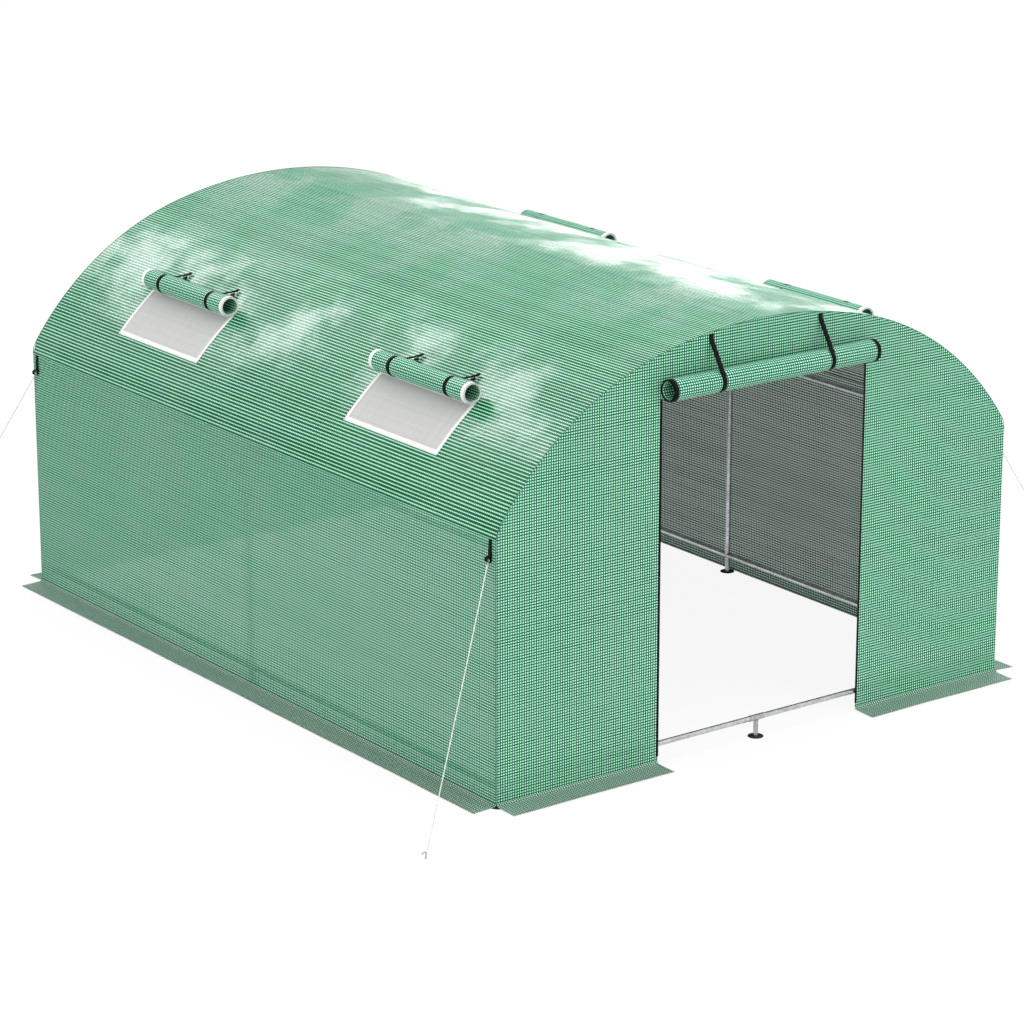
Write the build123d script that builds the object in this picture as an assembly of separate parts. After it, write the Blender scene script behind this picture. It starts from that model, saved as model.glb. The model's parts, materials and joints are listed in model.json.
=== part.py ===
from build123d import *
from math import acos, atan2, cos, degrees, hypot, pi, radians, sin
import os

os.makedirs("parts", exist_ok=True)

# The tunnel measured over its cover, with the door end at -Y and the ground at z = 0
tunnel_length = 4000
tunnel_width = 3000
tunnel_height = 2000
eave_height = 1230  # where the upright side walls start to bend over
eave_bend_radius = 110
crown_radius = 2300  # the flatter arc over the middle
crown_half_width = 600

# The cover is reinforced polyethylene sheet, drawn thicker than it is
cover_thickness = 3
skirt_width = 125  # the flap that lies on the ground outside each wall
fold_radius = 12  # where a wall turns out into its skirt
hem_thickness = 3

# The doorway and its rolled-up door
door_half_width = 596
door_height = 1752
door_roll_radius = 52
door_roll_drop = 234  # from the ridge down to the roll's axis
door_roll_length = 1204
zip_width = 9
zip_thickness = 2
zip_foot = 40

# Roof windows, placed by their distance from the ridge along the cover
window_foot_distance = 1515
window_height = 292
window_width = 720
window_spacing = 2000
window_binding = 20
binding_thickness = 1.5
mesh_thickness = 1.5
window_roll_radius = 46
window_roll_length = 740
window_roll_distance = 1238

# A rolled flap is drawn as a spiral of half turns
roll_sheet = 5
roll_gap = 1.5
roll_turns = 2

# Black webbing
strap_thickness = 1.5
door_strap_width = 15
door_strap_spread = 320
door_strap_drop = 8  # its stitched end starts this far below the roof edge
door_strap_patch = 24  # the length stitched to the cover
door_strap_wrap = 170  # degrees of the roll that it goes round
window_strap_width = 15
window_strap_spread = 220
eave_strap_width = 15
eave_strap_length = 92  # from the eave down to its loop
eave_strap_from_end = 42
eave_loop_radius = 9
eave_loop_wire = 2.2

# Galvanised tube, joined by socketed fittings
tube_radius = 12.5
tube_wall = 1.2
socket_wall = 1.5
arm_length = 42
tube_stop_length = 17  # a tube ends this far from the middle of its fitting
base_rail_height = 93

# Round feet under the fittings at ground level
foot_radius = 37
foot_thickness = 3
spigot_radius = 11.5

# Guy ropes from the eaves to pegs in the ground
rope_radius = 2.4
peg_out = 588  # from the side wall
peg_forward = 291  # from the end wall
peg_radius = 3
peg_height = 26
peg_hook_radius = 9
rope_peg_height = 7

# Fits
sheet_gap = 0.3  # between the cover and what it lies on
socket_gap = 0.2  # between a tube and its socket
rest_gap = 0.3  # between a soft piece and what carries it
least_turn = 1e-6  # radians; a shorter arc of the roof line is left out

socket_radius = tube_radius + socket_gap + socket_wall
frame_inset = cover_thickness + sheet_gap + socket_radius
half_length = tunnel_length / 2
half_width = tunnel_width / 2
post_x = half_width - frame_inset
eave_rail_height = eave_height - arm_length
end_hoop_y = half_length - frame_inset
door_roll_height = tunnel_height - door_roll_drop
hoop_positions = {"front": -end_hoop_y, "middle": 0, "rear": end_hoop_y}

# The three arcs of half the roof, from the ridge to the eave. The middle one follows from
# the other two, because it has to run smoothly into both.
crown_angle = atan2(crown_half_width, (crown_radius**2 - crown_half_width**2) ** 0.5)
crown_centre = (0, tunnel_height - crown_radius)
bend_centre = (half_width - eave_bend_radius, eave_height)
across = bend_centre[0] - crown_centre[0]
up = bend_centre[1] - crown_centre[1]
along_normal = across * sin(crown_angle) + up * cos(crown_angle)
radius_left = crown_radius - eave_bend_radius
centre_shift = (across**2 + up**2 - radius_left**2) / (2 * (along_normal - radius_left))
slope_radius = crown_radius - centre_shift
slope_centre = (
    crown_centre[0] + centre_shift * sin(crown_angle),
    crown_centre[1] + centre_shift * cos(crown_angle),
)
bend_angle = atan2(bend_centre[0] - slope_centre[0], bend_centre[1] - slope_centre[1])
roof_arcs = [
    (crown_centre, crown_radius, 0, crown_angle),
    (slope_centre, slope_radius, crown_angle, bend_angle),
    (bend_centre, eave_bend_radius, bend_angle, pi / 2),
]


def tilt_at(distance):
    """How far the roof leans from level at this distance from the ridge along the cover."""
    for _, radius, start, end in roof_arcs:
        if distance <= radius * (end - start):
            return start + distance / radius
        distance -= radius * (end - start)
    return pi / 2


def roof_point(tilt, inset=0):
    """A point of the right half of the roof, inset from the outside of the cover."""
    for centre, radius, start, end in roof_arcs:
        if tilt <= end:
            break
    return (centre[0] + (radius - inset) * sin(tilt), centre[1] + (radius - inset) * cos(tilt))


def roof_curve(start, end, inset):
    """The arcs of the right half of the roof between two tilts, as one list of edges."""
    edges = []
    for centre, radius, first, last in roof_arcs:
        low, high = max(start, first), min(end, last)
        if high - low > least_turn:
            points = [
                (centre[0] + (radius - inset) * sin(a), centre[1] + (radius - inset) * cos(a))
                for a in (low, (low + high) / 2, high)
            ]
            edges.append(ThreePointArc(*points))
    return edges


def roof_band(start, end, outer, inner):
    """A face between two insets of the roof line and between two tilts, in the XZ plane."""
    edges = roof_curve(start, end, outer) + roof_curve(start, end, inner)
    for tilt in (start, end):
        edges.append(Line(roof_point(tilt, outer), roof_point(tilt, inner)))
    return Plane.XZ * make_face(edges)


def between(face, start_y, end_y):
    """A face of the XZ plane drawn out along the tunnel."""
    return Pos(0, start_y, 0) * extrude(face, amount=end_y - start_y, dir=(0, 1, 0))


def mirrored(shape):
    return mirror(shape, about=Plane.YZ)


def tube(length):
    return Cylinder(tube_radius, length) - Cylinder(tube_radius - tube_wall, length)


def tube_between(start, end):
    """A straight tube whose ends stop short of the middles of the two fittings."""
    axis = (Vector(*end) - Vector(*start)).normalized()
    length = (Vector(*end) - Vector(*start)).length - 2 * tube_stop_length
    middle = (Vector(*start) + Vector(*end)) * 0.5
    return Plane(middle, z_dir=axis) * tube(length)


def fitting(centre, directions):
    """A socketed fitting: an arm in each direction, bored from its mouth to the tube's end."""
    body = Sphere(socket_radius)
    for direction in directions:
        body += Plane((0, 0, 0), z_dir=direction) * Cylinder(
            socket_radius, arm_length, align=(Align.CENTER, Align.CENTER, Align.MIN)
        )
    for direction in directions:
        body -= Plane(Vector(*direction) * tube_stop_length, z_dir=direction) * Cylinder(
            tube_radius + socket_gap, arm_length, align=(Align.CENTER, Align.CENTER, Align.MIN)
        )
    return Pos(*centre) * body


def inward(position):
    """Which ways along the tunnel a fitting at this hoop holds a rail."""
    ways = []
    if position > -end_hoop_y:
        ways.append((0, -1, 0))
    if position < end_hoop_y:
        ways.append((0, 1, 0))
    return ways


def rails_along(x, z):
    """The two tubes of a rail, each spanning one bay between hoops."""
    stations = list(hoop_positions.values())
    return [tube_between((x, a, z), (x, b, z)) for a, b in zip(stations, stations[1:])]


def save(node, *solids):
    shape = solids[0] if len(solids) == 1 else Compound(children=list(solids))
    shape.label = node
    export_step(shape, f"parts/{node}.step")


# Frame: posts, arches and rails
arch_foot = eave_rail_height + tube_stop_length
for side, sign in (("left", -1), ("right", 1)):
    posts = [
        tube_between((sign * post_x, y, base_rail_height), (sign * post_x, y, eave_rail_height))
        for y in hoop_positions.values()
    ]
    save(f"{side}_posts", *posts)
    save(f"{side}_eave_rail", *rails_along(sign * post_x, eave_rail_height))
    save(f"{side}_base_rail", *rails_along(sign * post_x, base_rail_height))

ridge_height = tunnel_height - frame_inset
save("ridge_rail", *rails_along(0, ridge_height))

# Each arch is one tube, bent from the upright at the eave to the ridge fitting
ridge_end_tilt = (tube_stop_length + socket_gap) / (crown_radius - frame_inset)
arch_line = roof_curve(ridge_end_tilt, pi / 2, frame_inset)
arch_line.append(Line((post_x, eave_height), (post_x, arch_foot)))
arch_path = Plane.XZ * Wire([edge for curve in arch_line for edge in curve.edges()])
arch_start = Plane((post_x, 0, arch_foot), z_dir=(0, 0, 1))
arch_ring = arch_start * (Circle(tube_radius) - Circle(tube_radius - tube_wall))
right_arch = sweep(arch_ring, path=arch_path)
for name, y in hoop_positions.items():
    save(f"{name}_right_arch", Pos(0, y, 0) * right_arch)
    save(f"{name}_left_arch", Pos(0, y, 0) * mirrored(right_arch))

# Rails across the two ends, each in two lengths that meet over the middle foot
for name in ("front", "rear"):
    y = hoop_positions[name]
    stations = [(-post_x, y, base_rail_height), (0, y, base_rail_height), (post_x, y, base_rail_height)]
    save(f"{name}_base_rail", *[tube_between(a, b) for a, b in zip(stations, stations[1:])])

# Fittings at the ridge, the eaves and the ground
upright = (0, 0, 1)
down = (0, 0, -1)
ridge_slope = arm_length / (2 * (crown_radius - frame_inset))
ridge_fittings = []
eave_fittings = []
base_places = []
for y in hoop_positions.values():
    ridge_ways = [(1, 0, -ridge_slope), (-1, 0, -ridge_slope)] + inward(y)
    ridge_fittings.append(fitting((0, y, ridge_height), ridge_ways))
    for sign in (-1, 1):
        ways = [upright, down] + inward(y)
        eave_fittings.append(fitting((sign * post_x, y, eave_rail_height), ways))
        base_ways = [upright] + inward(y)
        if y != 0:
            base_ways.append((-sign, 0, 0))
        base_places.append((sign * post_x, y, base_ways))
for y in (hoop_positions["front"], hoop_positions["rear"]):
    base_places.append((0, y, [(-1, 0, 0), (1, 0, 0)]))
save("ridge_fittings", *ridge_fittings)
save("eave_fittings", *eave_fittings)

base_fittings = []
feet = []
for x, y, ways in base_places:
    spigot_length = base_rail_height - foot_thickness
    spigot = Pos(x, y, foot_thickness + spigot_length / 2) * Cylinder(spigot_radius, spigot_length)
    spigot -= Pos(x, y, base_rail_height) * Sphere(tube_stop_length)
    base_fittings.append(fitting((x, y, base_rail_height), ways) + spigot)
    foot = Pos(x, y, foot_thickness / 2) * Cylinder(foot_radius, foot_thickness)
    feet.append(chamfer(foot.edges().group_by(Axis.Z)[-1], foot_thickness / 3))
save("base_fittings", *base_fittings)
save("feet", *feet)

# The cover along the sides: the crown, two slopes with window openings, two upright walls
cover_start = -half_length + cover_thickness
cover_end = half_length - cover_thickness
skirt_rise = foot_thickness + 2 * sheet_gap  # the skirt passes over the feet
fold_top = skirt_rise + hem_thickness + fold_radius

crown_right = roof_band(0, crown_angle, 0, cover_thickness)
crown = between(crown_right + mirrored(crown_right), cover_start, cover_end)
save("roof_crown", crown)

window_top_tilt = tilt_at(window_foot_distance - window_height)
window_foot_tilt = tilt_at(window_foot_distance)
window_centres = (-window_spacing / 2, window_spacing / 2)
slope = between(roof_band(crown_angle, pi / 2, 0, cover_thickness), cover_start, cover_end)
for y in window_centres:
    opening = roof_band(window_top_tilt, window_foot_tilt, -cover_thickness, 2 * cover_thickness)
    slope -= between(opening, y - window_width / 2, y + window_width / 2)
save("roof_right_slope", slope)
save("roof_left_slope", mirrored(slope))

wall_height = eave_height - fold_top
wall = Box(
    cover_thickness,
    cover_end - cover_start,
    wall_height,
    align=(Align.MAX, Align.CENTER, Align.MIN),
)
right_wall = Pos(half_width, 0, fold_top) * wall
save("right_wall", right_wall)
save("left_wall", mirrored(right_wall))


def skirt(length):
    """A flap along X, seen from its end: down the wall at y = 0, round the fold, out to -Y."""
    out = -fold_radius
    hem = fold_radius - skirt_width
    outer = fold_radius
    inner = fold_radius + hem_thickness
    bend = cos(pi / 4)
    profile = [
        Line((0, fold_top), (hem_thickness, fold_top)),
        ThreePointArc((hem_thickness, fold_top), (out + inner * bend, fold_top - inner * bend), (out, fold_top - inner)),
        Line((out, fold_top - inner), (hem - fold_radius, 0)),
        Line((hem - fold_radius, 0), (hem - fold_radius, hem_thickness)),
        Line((hem - fold_radius, hem_thickness), (out, fold_top - outer)),
        ThreePointArc((out, fold_top - outer), (out + outer * bend, fold_top - outer * bend), (0, fold_top)),
    ]
    return extrude(Plane.YZ * make_face(profile), amount=length / 2, both=True)


side_skirt = Pos(half_width, 0, 0) * Rot(0, 0, 90) * skirt(cover_end - cover_start)
save("right_skirt", side_skirt)
save("left_skirt", mirrored(side_skirt))
front_skirt_length = half_width - door_half_width
front_skirt = Pos(half_width - front_skirt_length / 2, -half_length, 0) * skirt(front_skirt_length)
save("front_skirts", front_skirt, mirrored(front_skirt))
save("rear_skirt", Pos(0, half_length, 0) * Rot(0, 0, 180) * skirt(tunnel_width))

# The two ends of the cover
right_half = roof_curve(0, pi / 2, 0)
end_edges = right_half + [
    Line((half_width, eave_height), (half_width, fold_top)),
    Line((half_width, fold_top), (0, fold_top)),
    Line((0, fold_top), (0, tunnel_height)),
]
right_end = Plane.XZ * make_face(end_edges)
whole_end = between(right_end + mirrored(right_end), 0, cover_thickness)
save("rear_wall", Pos(0, half_length - cover_thickness, 0) * whole_end)

front_end = Pos(0, -half_length, 0) * whole_end
beside_door = Box(
    half_width,
    3 * cover_thickness,
    tunnel_height * 2,
    align=(Align.MIN, Align.CENTER, Align.CENTER),
)
front_right = front_end & (Pos(door_half_width, -half_length, 0) * beside_door)
save("front_right_panel", front_right)
save("front_left_panel", mirrored(front_right))
over_door = Box(
    2 * door_half_width,
    3 * cover_thickness,
    tunnel_height,
    align=(Align.CENTER, Align.CENTER, Align.MIN),
)
save("front_gable_panel", front_end & (Pos(0, -half_length, door_height) * over_door))

# Zip tapes down both sides of the doorway, up to the rolled door
zip_top = door_roll_height - door_roll_radius - rest_gap
zip_tape = Pos(door_half_width + zip_width / 2, -half_length, zip_foot) * Box(
    zip_width,
    zip_thickness,
    zip_top - zip_foot,
    align=(Align.CENTER, Align.MAX, Align.MIN),
)
save("door_zips", zip_tape, mirrored(zip_tape))


def rolled_sheet(outer_radius, length):
    """A flap rolled up on itself, as a spiral of half turns around the Y axis. Its outer edge
    is at +X, and the sheet goes up from there."""
    step = (roll_sheet + roll_gap) / 2
    edges = []
    ends = []
    for start_radius in (outer_radius, outer_radius - roll_sheet):
        x = start_radius
        side = 1
        radius = start_radius
        first = (x, 0)
        for _ in range(2 * roll_turns):
            middle_x = x - side * radius
            edges.append(
                ThreePointArc((x, 0), (middle_x, side * radius), (middle_x - side * radius, 0))
            )
            x = middle_x - side * radius
            side = -side
            radius -= step
        ends.append((first, (x, 0)))
    edges.append(Line(ends[0][0], ends[1][0]))
    edges.append(Line(ends[0][1], ends[1][1]))
    return extrude(Plane.XZ * make_face(edges), amount=length / 2, both=True)


door_roll_y = -half_length - rest_gap - door_roll_radius
door_roll = Rot(0, 0, 90) * Rot(180, 0, 0) * rolled_sheet(door_roll_radius, door_roll_length)
save("door_roll", Pos(0, door_roll_y, door_roll_height) * door_roll)


def strap_over(start, centre, radius, wrap, width):
    """A strap from a stitched end, straight to a roll and round it, drawn in the YZ plane."""
    mid = radius + strap_thickness / 2
    dy, dz = start[0] - centre[0], start[1] - centre[1]
    touch = atan2(dz, dy) + acos(mid / hypot(dy, dz))
    turn = [touch, touch + wrap / 2, touch + wrap]

    def at(angle, reach):
        return (centre[0] + reach * cos(angle), centre[1] + reach * sin(angle))

    lift = (cos(touch) * strap_thickness / 2, sin(touch) * strap_thickness / 2)
    near = (start[0] - lift[0], start[1] - lift[1])
    far = (start[0] + lift[0], start[1] + lift[1])
    inner, outer = radius, radius + strap_thickness
    edges = [
        Line(near, at(touch, inner)),
        ThreePointArc(*[at(a, inner) for a in turn]),
        Line(at(turn[2], inner), at(turn[2], outer)),
        ThreePointArc(*[at(a, outer) for a in turn]),
        Line(at(touch, outer), far),
        Line(far, near),
    ]
    return extrude(Plane.YZ * make_face(edges), amount=width / 2, both=True)


door_strap_tilt = atan2(door_strap_spread, crown_radius)
door_strap_top = crown_centre[1] + crown_radius * cos(door_strap_tilt) - door_strap_drop
door_strap = strap_over(
    (-half_length - strap_thickness / 2, door_strap_top - door_strap_patch),
    (door_roll_y, door_roll_height),
    door_roll_radius + rest_gap,
    radians(door_strap_wrap),
    door_strap_width,
)
door_strap += Pos(0, -half_length, door_strap_top) * Box(
    door_strap_width,
    strap_thickness,
    door_strap_patch,
    align=(Align.CENTER, Align.MAX, Align.MAX),
)
save(
    "door_straps",
    Pos(door_strap_spread, 0, 0) * door_strap,
    Pos(-door_strap_spread, 0, 0) * door_strap,
)

# Window meshes in the openings, with their bindings over the edges of the cover
slope_tilt_per_mm = 1 / slope_radius
edge_tilt = sheet_gap * slope_tilt_per_mm
binding_tilt = window_binding * slope_tilt_per_mm
mesh_face = roof_band(
    window_top_tilt + edge_tilt, window_foot_tilt - edge_tilt, -sheet_gap, mesh_thickness
)
rim_outer = -sheet_gap - binding_thickness
binding_face = roof_band(
    window_top_tilt - binding_tilt, window_foot_tilt + binding_tilt, rim_outer, -sheet_gap
)
within_face = roof_band(
    window_top_tilt + binding_tilt, window_foot_tilt - binding_tilt, rim_outer, -sheet_gap
)
mesh_half = window_width / 2 - sheet_gap
binding_half = window_width / 2 + window_binding
within_half = window_width / 2 - window_binding
binding = between(binding_face, -binding_half, binding_half)
binding -= between(within_face, -within_half, within_half)
window_mesh = between(mesh_face, -mesh_half, mesh_half) + binding

# Rolls of the window flaps, lying on the top edges of the bindings
roll_tilt = tilt_at(window_roll_distance)
roll_seat = -sheet_gap - binding_thickness - rest_gap - window_roll_radius
roll_x, roll_z = roof_point(roll_tilt, roll_seat)
window_roll = Rot(0, 90, 0) * rolled_sheet(window_roll_radius, window_roll_length)
window_roll = Pos(roll_x, 0, roll_z) * Rot(0, degrees(roll_tilt), 0) * window_roll
strap_inner = window_roll_radius + rest_gap
strap_ring = Cylinder(strap_inner + strap_thickness, window_strap_width) - Cylinder(
    strap_inner, window_strap_width
)
strap_mouth = Pos(0, -window_roll_radius, 0) * Box(
    window_roll_radius, window_roll_radius, 2 * window_strap_width
)
window_strap = Rot(0, degrees(roll_tilt), 0) * Rot(90, 0, 0) * (strap_ring - strap_mouth)
window_strap = Pos(roll_x, 0, roll_z) * window_strap
right_straps = [
    Pos(0, y + sign * window_strap_spread, 0) * window_strap
    for y in window_centres
    for sign in (-1, 1)
]
right_meshes = [Pos(0, y, 0) * window_mesh for y in window_centres]
right_rolls = [Pos(0, y, 0) * window_roll for y in window_centres]
save("right_window_meshes", *right_meshes)
save("left_window_meshes", *[mirrored(mesh) for mesh in right_meshes])
save("right_window_rolls", *right_rolls)
save("left_window_rolls", *[mirrored(roll) for roll in right_rolls])
save("window_straps", *right_straps, *[mirrored(strap) for strap in right_straps])

# At each eave corner a webbing strap with a loop holds a guy rope, taut to its peg
strap_y = half_length - eave_strap_from_end
loop_z = eave_height - eave_strap_length
eave_strap = Pos(half_width, strap_y, eave_height) * Box(
    strap_thickness,
    eave_strap_width,
    eave_strap_length,
    align=(Align.MIN, Align.CENTER, Align.MAX),
)
loop_x = half_width + rest_gap + eave_loop_wire + eave_loop_radius
eave_loop = Pos(loop_x, strap_y, loop_z) * Rot(90, 0, 0) * Torus(eave_loop_radius, eave_loop_wire)
loop_tab = Pos(half_width, strap_y, loop_z) * Box(
    strap_thickness + eave_loop_wire,
    eave_strap_width,
    eave_loop_radius,
    align=(Align.MIN, Align.CENTER, Align.CENTER),
)
corner_strap = eave_strap + loop_tab + eave_loop

peg_x = half_width + peg_out
peg_y = half_length + peg_forward
eye_top = Vector(loop_x, strap_y, loop_z - eave_loop_radius)
eye_foot = Vector(peg_x, peg_y, rope_peg_height)
top_eye_radius = eave_loop_wire + rest_gap + rope_radius
foot_eye_radius = peg_radius + rest_gap + rope_radius
sideways = Vector(eye_foot.X - eye_top.X, eye_foot.Y - eye_top.Y, 0).normalized()
rope_foot = eye_foot - sideways * foot_eye_radius
pull = (rope_foot - eye_top).normalized()
rope_start = eye_top + pull * top_eye_radius
rope_run = Plane(rope_start, z_dir=pull) * Cylinder(
    rope_radius,
    (rope_foot - rope_start).length,
    align=(Align.CENTER, Align.CENTER, Align.MIN),
)
top_eye = Plane(eye_top, z_dir=(1, 0, 0)) * Torus(top_eye_radius, rope_radius)
foot_eye = Pos(*eye_foot) * Torus(foot_eye_radius, rope_radius)
corner_rope = rope_run + top_eye + foot_eye

peg_shank = Line((0, 0), (0, peg_height))
peg_hook = ThreePointArc(
    (0, peg_height),
    (peg_hook_radius, peg_height + peg_hook_radius),
    (2 * peg_hook_radius, peg_height),
)
peg_path = Plane.XZ * Wire(peg_shank.edges() + peg_hook.edges())
peg = sweep(Plane.XY * Circle(peg_radius), path=peg_path)
corner_peg = Pos(peg_x, peg_y, 0) * peg


def at_corners(shape):
    """The same piece at all four corners of the tunnel."""
    rear = [shape, mirrored(shape)]
    return rear + [mirror(piece, about=Plane.XZ) for piece in rear]


save("eave_straps", *at_corners(corner_strap))
save("guy_ropes", *at_corners(corner_rope))
save("pegs", *at_corners(corner_peg))
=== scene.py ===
import bmesh
import bpy
import json
from math import asin, atan2, cos, exp, hypot, pi, radians, sin
from mathutils import Matrix, Vector, noise

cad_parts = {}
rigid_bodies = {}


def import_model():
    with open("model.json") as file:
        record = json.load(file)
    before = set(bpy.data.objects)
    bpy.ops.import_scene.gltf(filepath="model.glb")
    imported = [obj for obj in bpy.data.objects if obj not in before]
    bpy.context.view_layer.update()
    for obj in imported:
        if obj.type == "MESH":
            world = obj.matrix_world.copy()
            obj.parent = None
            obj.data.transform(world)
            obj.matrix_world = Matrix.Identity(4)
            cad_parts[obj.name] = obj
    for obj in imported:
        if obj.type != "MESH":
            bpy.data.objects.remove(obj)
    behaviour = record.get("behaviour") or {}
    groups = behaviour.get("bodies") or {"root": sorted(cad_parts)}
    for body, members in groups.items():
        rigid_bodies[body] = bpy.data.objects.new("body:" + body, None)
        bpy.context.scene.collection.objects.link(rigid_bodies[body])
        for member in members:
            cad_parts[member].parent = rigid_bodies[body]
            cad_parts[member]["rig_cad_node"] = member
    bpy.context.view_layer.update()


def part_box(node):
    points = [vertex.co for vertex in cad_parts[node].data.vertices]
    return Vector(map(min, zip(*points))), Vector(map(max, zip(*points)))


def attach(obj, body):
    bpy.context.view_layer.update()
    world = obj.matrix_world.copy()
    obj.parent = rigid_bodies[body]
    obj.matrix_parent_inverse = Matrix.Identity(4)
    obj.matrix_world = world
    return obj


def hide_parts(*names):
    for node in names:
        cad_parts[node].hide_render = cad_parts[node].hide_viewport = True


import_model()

# The cover's outline in metres, the same three arcs a side as the solids have
roofLine = {
    "crownRadius": 2.3,
    "crownHalfWidth": 0.6,
    "eaveBendRadius": 0.11,
    "eaveHeight": 1.23,
}
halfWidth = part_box("right_wall")[1][0]
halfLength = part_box("rear_wall")[1][1]
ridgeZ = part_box("roof_crown")[1][2]
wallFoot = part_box("right_wall")[0][2]
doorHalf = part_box("front_right_panel")[0][0]
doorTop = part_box("front_gable_panel")[0][2]


def roofArcs():
    crownR, bendR = roofLine["crownRadius"], roofLine["eaveBendRadius"]
    crownTilt = asin(roofLine["crownHalfWidth"] / crownR)
    crownZ = ridgeZ - crownR
    bendX, bendZ = halfWidth - bendR, roofLine["eaveHeight"]
    rise = bendZ - crownZ
    reach = bendX * sin(crownTilt) + rise * cos(crownTilt)
    left = crownR - bendR
    shift = (bendX**2 + rise**2 - left**2) / (2 * (reach - left))
    slopeX, slopeZ = shift * sin(crownTilt), crownZ + shift * cos(crownTilt)
    bendTilt = atan2(bendX - slopeX, bendZ - slopeZ)
    return [
        ((0, crownZ), crownR, 0, crownTilt),
        ((slopeX, slopeZ), crownR - shift, crownTilt, bendTilt),
        ((bendX, bendZ), bendR, bendTilt, pi / 2),
    ]


arcs = roofArcs()
eaveDistance = sum(radius * (end - start) for _, radius, start, end in arcs)
print("roof: ridge to eave along the cover", round(eaveDistance, 3))


def arcAt(distance):
    # The arc under a distance from the ridge: its centre, its radius and the tilt there
    rest = abs(distance)
    for centre, radius, start, end in arcs:
        if rest <= radius * (end - start) + 1e-6:
            break
        rest -= radius * (end - start)
    return centre, radius, start + rest / radius


def roofPoint(distance, lift=0):
    # Right of the ridge the distance is positive, left of it negative
    (x, z), radius, tilt = arcAt(distance)
    side, reach = (1 if distance >= 0 else -1), radius + lift
    return Vector((side * (x + reach * sin(tilt)), 0, z + reach * cos(tilt)))


def roofTilt(distance):
    return arcAt(distance)[2] * (1 if distance >= 0 else -1)


def roofNormal(distance):
    tilt = roofTilt(distance)
    return Vector((sin(tilt), 0, cos(tilt)))


def roofDistance(point):
    side, passed = (1 if point.x >= 0 else -1), 0
    for (x, z), radius, start, end in arcs:
        tilt = atan2(abs(point.x) - x, point.z - z)
        if tilt <= end + 1e-5:
            break
        passed += radius * (end - start)
    return side * (passed + radius * (tilt - start))


def roofHeight(x):
    for (centreX, centreZ), radius, _, end in arcs:
        if abs(x) <= centreX + radius * sin(end) + 1e-6:
            break
    return centreZ + max(0, radius**2 - (abs(x) - centreX) ** 2) ** 0.5


def spinRoof(bm, geom, stops, step):
    # Spins what is drawn at the first stop over the roof to the last, left to right
    ways, passed = [], 0
    for (x, z), radius, start, end in arcs:
        span = radius * (end - start)
        ways.append((passed, passed + span, Vector((x, 0, z)), radius))
        ways.append((-passed - span, -passed, Vector((-x, 0, z)), radius))
        passed += span
    cuts = sorted(set(round(w, 6) for way in ways for w in way[:2]) | set(round(s, 6) for s in stops))
    cuts = [cut for cut in cuts if stops[0] - 1e-6 <= cut <= stops[-1] + 1e-6]
    for low, high in zip(cuts, cuts[1:]):
        middle = (low + high) / 2
        _, _, centre, radius = next(way for way in ways if way[0] <= middle <= way[1])
        turned = bmesh.ops.spin(
            bm, geom=geom, cent=centre, axis=(0, 1, 0), angle=(high - low) / radius,
            steps=max(1, round((high - low) / step)), use_merge=False, use_duplicate=False,
        )
        geom = turned["geom_last"]
    return geom


def lineOfVerts(bm, points):
    verts = [bm.verts.new(point) for point in points]
    edges = [bm.edges.new(pair) for pair in zip(verts, verts[1:])]
    return verts + edges


def spaced(stops, step):
    values = [stops[0]]
    for low, high in zip(stops, stops[1:]):
        count = max(1, round((high - low) / step))
        values += [low + (high - low) * (i + 1) / count for i in range(count)]
    return values


def vertsIn(geom):
    return [g for g in geom if isinstance(g, bmesh.types.BMVert)]


def edgesIn(geom):
    return [g for g in geom if isinstance(g, bmesh.types.BMEdge)]


def facesIn(geom):
    return [g for g in geom if isinstance(g, bmesh.types.BMFace)]


def edgesOf(verts):
    return list(dict.fromkeys(edge for vert in verts for edge in vert.link_edges))


def turnedTo(place, way):
    # Carries what is made round the Z axis to a place, with its axis along the way
    return Matrix.Translation(place) @ Vector(way).to_track_quat("Z", "Y").to_matrix().to_4x4()


def pull(bm, edges, way):
    # Extrudes edges along the way, and gives the vertices, edges and faces that are new
    made = bmesh.ops.extrude_edge_only(bm, edges=edges)["geom"]
    verts = vertsIn(made)
    bmesh.ops.translate(bm, verts=verts, vec=way)
    return verts, [e for e in edgesIn(made) if all(v in verts for v in e.verts)], facesIn(made)


def cutOut(bm, test):
    # Removes the faces whose middle passes the test
    inside = [face for face in bm.faces if test(face.calc_center_median())]
    bmesh.ops.delete(bm, geom=inside, context="FACES")


def outwards(bm, centre=Vector((0, 0, 0.8))):
    bm.normal_update()
    lean = sum(face.normal.dot(face.calc_center_median() - centre) for face in bm.faces)
    if lean < 0:
        bmesh.ops.reverse_faces(bm, faces=bm.faces[:])


def drapeUv(bm, place):
    # UVs in metres along and across the cloth, so that its threads keep their spacing
    layer = bm.loops.layers.uv.get("UVMap") or bm.loops.layers.uv.new("UVMap")
    for face in bm.faces:
        for loop in face.loops:
            loop[layer].uv = place(loop.vert.co)


def roofUv(co):
    return (co.y, roofDistance(co))


def newObject(name, data):
    made = bpy.data.objects.new(name, data)
    bpy.context.scene.collection.objects.link(made)
    return made


def meshObject(name, bm, material):
    mesh = bpy.data.meshes.new(name)
    bm.to_mesh(mesh)
    bm.free()
    mesh.materials.append(material)
    return newObject(name, mesh)


def piece(name, bm, material, replaced=(), smooth=True):
    made = meshObject(name, bm, material)
    for polygon in made.data.polygons:
        polygon.use_smooth = smooth
    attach(made, "root")
    if replaced:
        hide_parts(*replaced)
    return made


# Shader building blocks
def addNode(tree, kind, sockets=None, **settings):
    node = tree.nodes.new(kind)
    for key, value in settings.items():
        setattr(node, key, value)
    for key, value in (sockets or {}).items():
        if isinstance(value, bpy.types.NodeSocket):
            tree.links.new(value, node.inputs[key])
        else:
            node.inputs[key].default_value = value
    return node


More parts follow.
